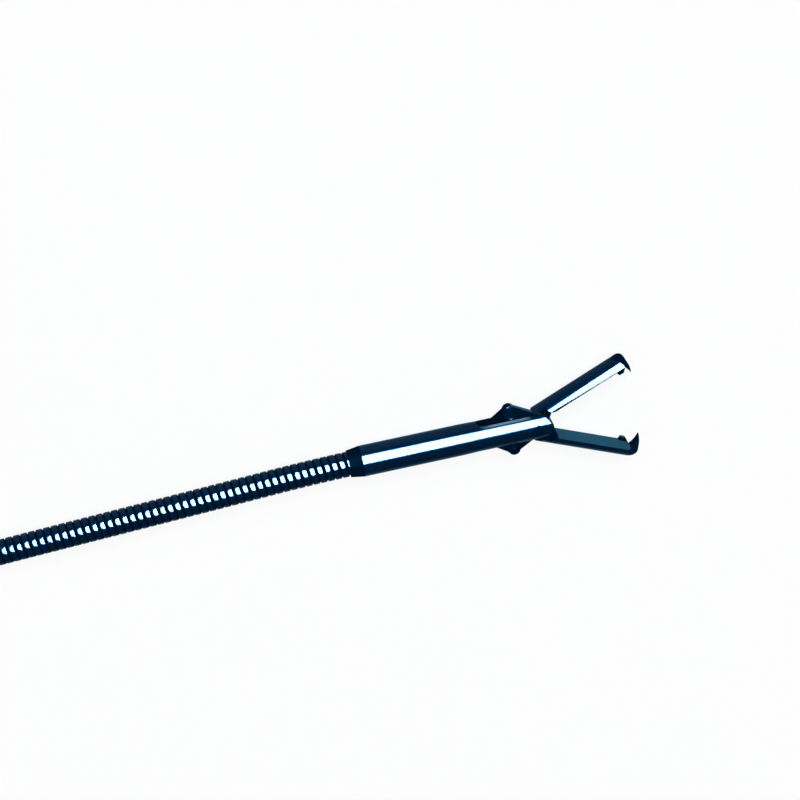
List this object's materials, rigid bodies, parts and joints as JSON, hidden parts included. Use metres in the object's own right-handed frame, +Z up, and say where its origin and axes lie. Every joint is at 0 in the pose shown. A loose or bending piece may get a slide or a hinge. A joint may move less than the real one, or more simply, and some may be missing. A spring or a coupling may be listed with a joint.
{
  "type": "endoscopic biopsy forceps",
  "caption": "Flexible biopsy forceps: spool handle with thumb ring, coil sheath, and crossed hooked jaws that a sliding yoke opens through two links.",
  "frame": {"origin": "on the tool's axis, in the plain round part of the distal tube, 10 mm behind the front of its arms", "axes": "+X along the tool towards the jaws, +Z up and along every hinge, +Y in the plane in which the jaws open"},
  "size_m": [0.1915, 0.0398, 0.0134],
  "materials": {
    "tool_steel": "polished, blue-black",
    "jaw_steel": "polished, blue-black",
    "pin_steel": "polished",
    "coil_wire": "drawn wire, blue-black",
    "tie_plastic": "satin",
    "boot_rubber": "matt",
    "grip_plastic": "moulded, satin",
    "body_plastic": "moulded, fine grain",
    "collet_brass": "turned"
  },
  "bodies": {
    "frame": {"distal_tube": "tool_steel", "pivot_pin": "pin_steel", "guide_bush": "pin_steel", "sheath_head_run": "coil_wire", "sheath_coil": "coil_wire", "sheath_handle_run": "coil_wire", "coil_tie": "tie_plastic", "strain_relief": "boot_rubber", "sheath_ferrule": "pin_steel", "nose_cap": "grip_plastic", "collet": "collet_brass", "handle_body": "body_plastic"},
    "spool": {"spool_front": "grip_plastic", "spool_rear": "grip_plastic", "cross_pin": "pin_steel", "anchor_block": "collet_brass", "set_screw": "pin_steel", "pull_tube": "pin_steel"},
    "yoke": {"drive_yoke": "tool_steel", "yoke_pin": "pin_steel", "drive_rod": "pin_steel"},
    "jaw_lower": {"lower_jaw": "jaw_steel", "lower_jaw_tail_pin": "pin_steel"},
    "jaw_upper": {"upper_jaw": "jaw_steel", "upper_jaw_tail_pin": "pin_steel"},
    "link_lower": {"lower_jaw_link": "tool_steel"},
    "link_upper": {"upper_jaw_link": "tool_steel"}
  },
  "joints": [
    {"name": "spool_slide", "type": "slide", "parent": "frame", "child": "spool", "axis": [1, 0, 0], "range_m": [-0.014, 0]},
    {"name": "yoke_slide", "type": "slide", "parent": "frame", "child": "yoke", "axis": [1, 0, 0], "range_m": [-0.000848, 0]},
    {"name": "lower_jaw_hinge", "type": "hinge", "parent": "frame", "child": "jaw_lower", "pos_m": [0.00885, 0, 0], "axis": [0, 0, 1], "range_deg": [0, 23.55]},
    {"name": "upper_jaw_hinge", "type": "hinge", "parent": "frame", "child": "jaw_upper", "pos_m": [0.00885, 0, 0], "axis": [0, 0, 1], "range_deg": [-23.55, 0]},
    {"name": "lower_link_hinge", "type": "hinge", "parent": "yoke", "child": "link_lower", "pos_m": [0.00477, 0, 0], "axis": [0, 0, 1], "range_deg": [-20.3, 0]},
    {"name": "upper_link_hinge", "type": "hinge", "parent": "yoke", "child": "link_upper", "pos_m": [0.00477, 0, 0], "axis": [0, 0, 1], "range_deg": [0, 20.3]}
  ],
  "couplings": [
    {"joint": "yoke_slide", "follows": "spool_slide", "ratio": 0.060414},
    {"joint": "lower_jaw_hinge", "follows": "spool_slide", "rad_per_m": -29.297},
    {"joint": "upper_jaw_hinge", "follows": "spool_slide", "rad_per_m": 29.297},
    {"joint": "lower_link_hinge", "follows": "spool_slide", "rad_per_m": 25.242},
    {"joint": "upper_link_hinge", "follows": "spool_slide", "rad_per_m": -25.242}
  ]
}
